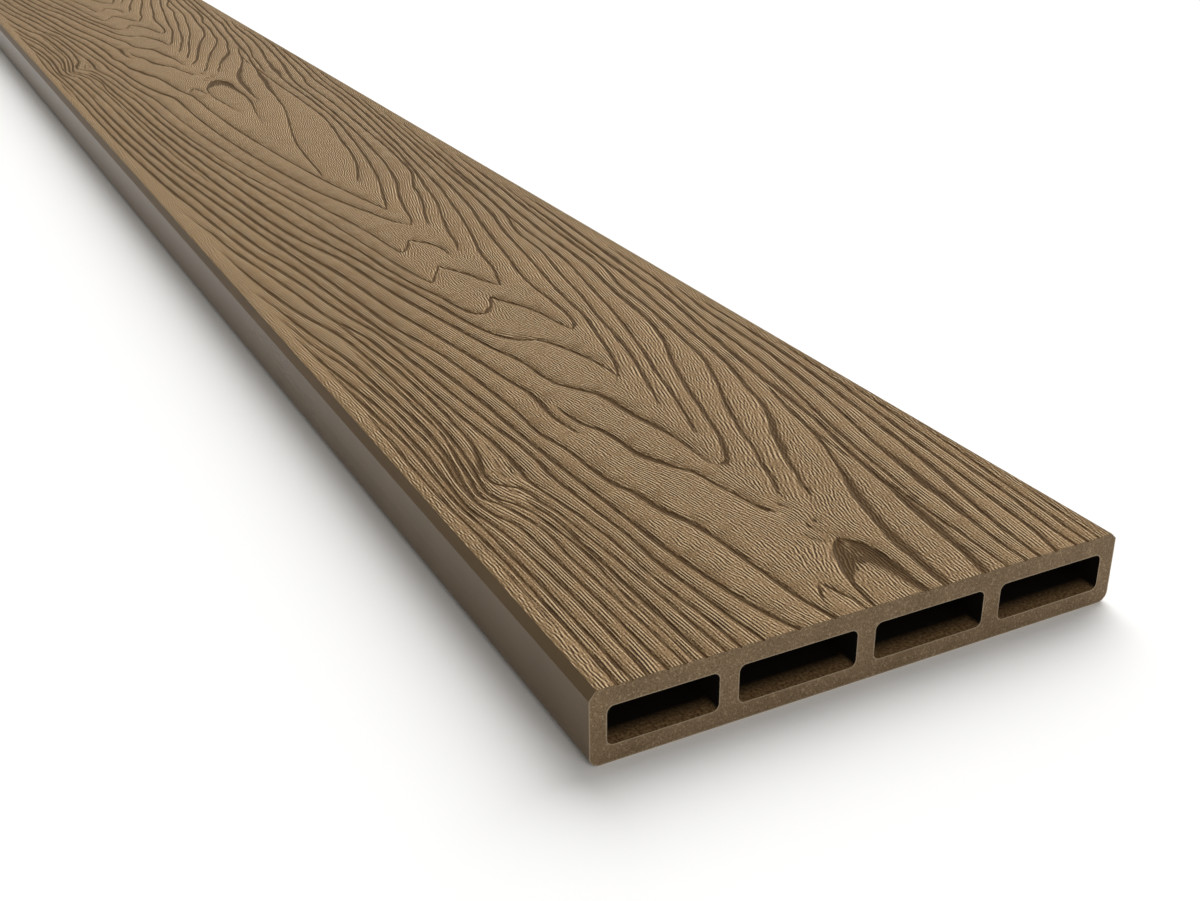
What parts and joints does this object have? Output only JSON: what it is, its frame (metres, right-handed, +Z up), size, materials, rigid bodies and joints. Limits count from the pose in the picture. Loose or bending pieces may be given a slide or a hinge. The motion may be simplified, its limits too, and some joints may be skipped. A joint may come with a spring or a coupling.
{
  "type": "composite fence board",
  "caption": "Hollow composite fence board with a wood-grain embossed face, bevelled long edges and open chambers along its length.",
  "frame": {"origin": "middle of the underside, halfway along the board and halfway across it", "axes": "+X along the length, +Y across the width towards the three equal chambers, +Z up out of the embossed face"},
  "size_m": [1.83, 0.15, 0.02],
  "materials": {
    "composite": "matt brown, wood-grain embossed"
  },
  "bodies": {
    "root": {"fence_board": "composite"}
  },
  "joints": []
}
